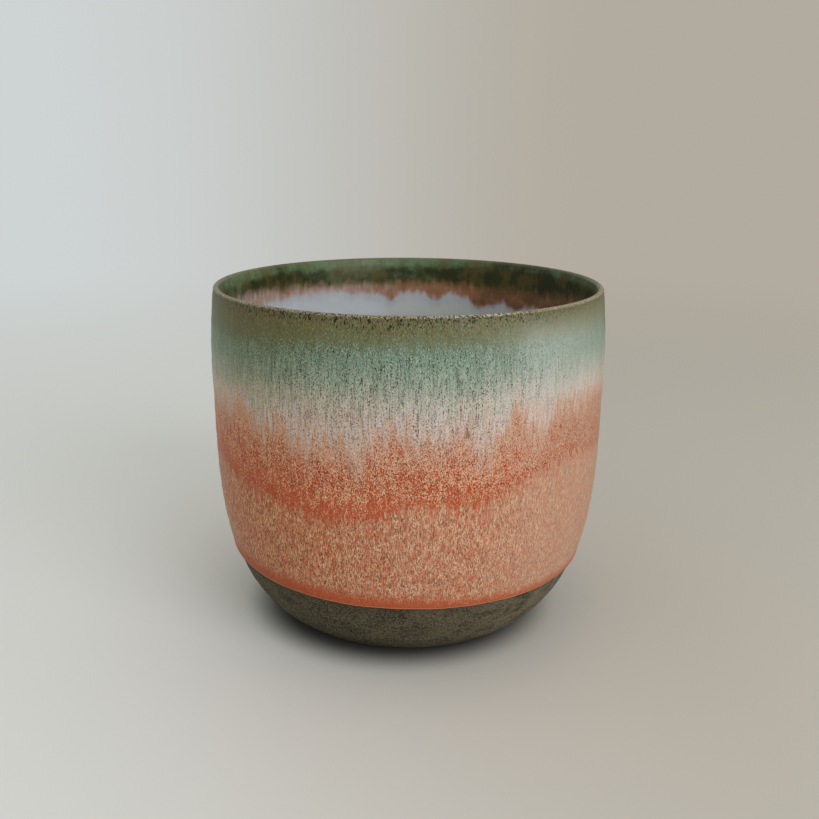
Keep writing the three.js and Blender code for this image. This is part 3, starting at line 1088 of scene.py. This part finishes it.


# The floor and the light, in metres. What goes across is cool on the left and warm on the right, as beside a
# window, and each pair says where it begins and ends. On the floor this is painted light, lighter on the
# left.

studio = {
    "floorRadius": 12.0,
    # the floor's colour across it is painted light, lighter on the left and darker on the right
    "floorLeft": (232, 235, 235),
    "floorRight": (196, 192, 184),
    "floorAcross": (-0.12, 0.1),
    "floorFades": (0.16, 0.85),
    # a painted contact shadow round the foot: its middle, where it begins and ends, and how dark it gets
    "contactShadow": {"middle": (-0.0025, -0.0015, 0), "from": 0.038, "to": 0.053, "tone": 0.12},
    "backdropLeft": (206, 211, 211),
    "backdropRight": (178, 171, 159),
    "backdropAcross": (-0.36, 0.2),
    "backdropMiddle": (0, -0.3, 0.15),
    "airLeft": (204, 203, 195),
    "airRight": (218, 217, 211),
    "airAcross": (-0.8, 0.8),
    "airStrength": 0.98,
    "lamp": {"place": (0.578, -0.740, 0.40), "size": 0.8, "power": 5.7, "colour": (252, 251, 253)},
    "lampAim": (0, 0, 0.055),
}


def acrossColour(tree, kind, spot):
    share = between(tree, alongAxis(tree, "X", spot), *studio[kind + "Across"])
    return tint(tree, studio[kind + "Left"], share, studio[kind + "Right"])


def seenRays(tree):
    # rays that show the backdrop: straight from the camera, or by way of gloss or glass
    path = put(tree, "ShaderNodeLightPath").outputs
    shown = calc(tree, "MAXIMUM", path["Is Camera Ray"], path["Is Glossy Ray"])
    return calc(tree, "MAXIMUM", shown, path["Is Transmission Ray"])


def backdropColour(tree, direction):
    return acrossColour(tree, "backdrop", vectorCalc(tree, "NORMALIZE", direction))


def mixShaders(tree, share, first, second, output):
    mixed = put(tree, "ShaderNodeMixShader", {0: share, 1: first.outputs[0], 2: second.outputs[0]})
    tree.links.new(mixed.outputs[0], tree.nodes[output].inputs["Surface"])


def makeFloor():
    bm = bmesh.new()
    bmesh.ops.create_circle(bm, cap_ends=True, segments=96, radius=studio["floorRadius"])
    mesh = bpy.data.meshes.new("floor")
    bm.to_mesh(mesh)
    bm.free()
    floor = bpy.data.objects.new("floor", mesh)
    bpy.context.scene.collection.objects.link(floor)
    material, tree, shader = newMaterial("pale table", Roughness=0.55, Specular_IOR_Level=0.3)
    spot = put(tree, "ShaderNodeTexCoord").outputs["Object"]
    # painted light: the floor is lighter and cooler on the left, darker and warmer on the right
    colour = acrossColour(tree, "floor", spot)
    # a painted contact shadow, darkening the floor close round the foot
    under = studio["contactShadow"]
    fromFoot = vectorCalc(tree, "LENGTH", vectorCalc(tree, "SUBTRACT", spot, under["middle"]))
    paintedShadow = between(tree, fromFoot, under["to"], under["from"])
    tone = (under["tone"], under["tone"], under["tone"], 1)
    give(tree, shader.inputs, {"Base Color": layer(tree, paintedShadow, colour, tone, "MULTIPLY")})
    # far away the floor goes over into the backdrop
    outward = vectorCalc(tree, "SUBTRACT", spot, studio["backdropMiddle"])
    away = between(tree, vectorCalc(tree, "LENGTH", spot), *studio["floorFades"])
    backdrop = put(tree, "ShaderNodeEmission", {"Color": backdropColour(tree, outward)})
    mixShaders(tree, times(tree, away, seenRays(tree)), shader, backdrop, "Material Output")
    mesh.materials.append(material)


def makeAir():
    world = bpy.data.worlds.new("air")
    bpy.context.scene.world = world
    world.use_nodes = True
    tree = world.node_tree
    air = tree.nodes["Background"]
    air.inputs["Strength"].default_value = studio["airStrength"]
    direction = put(tree, "ShaderNodeTexCoord").outputs["Generated"]
    give(tree, air.inputs, {"Color": acrossColour(tree, "air", direction)})
    backdrop = put(tree, "ShaderNodeBackground", {"Color": backdropColour(tree, direction), "Strength": 1.0})
    mixShaders(tree, seenRays(tree), air, backdrop, "World Output")


def addLamp(name, lamp):
    data = bpy.data.lights.new(name, "AREA")
    data.shape = "DISK"
    data.size = lamp["size"]
    data.energy = lamp["power"]
    data.color = shade(*lamp["colour"])[:3]
    made = bpy.data.objects.new(name, data)
    bpy.context.scene.collection.objects.link(made)
    made.location = lamp["place"]
    made.visible_camera = False
    aim = Vector(studio["lampAim"]) - made.location
    made.rotation_euler = aim.to_track_quat("-Z", "Y").to_euler()


makeFloor()
makeAir()
addLamp("window light", studio["lamp"])
bpy.context.scene.view_settings.view_transform = "Standard"
print("floor and light made")
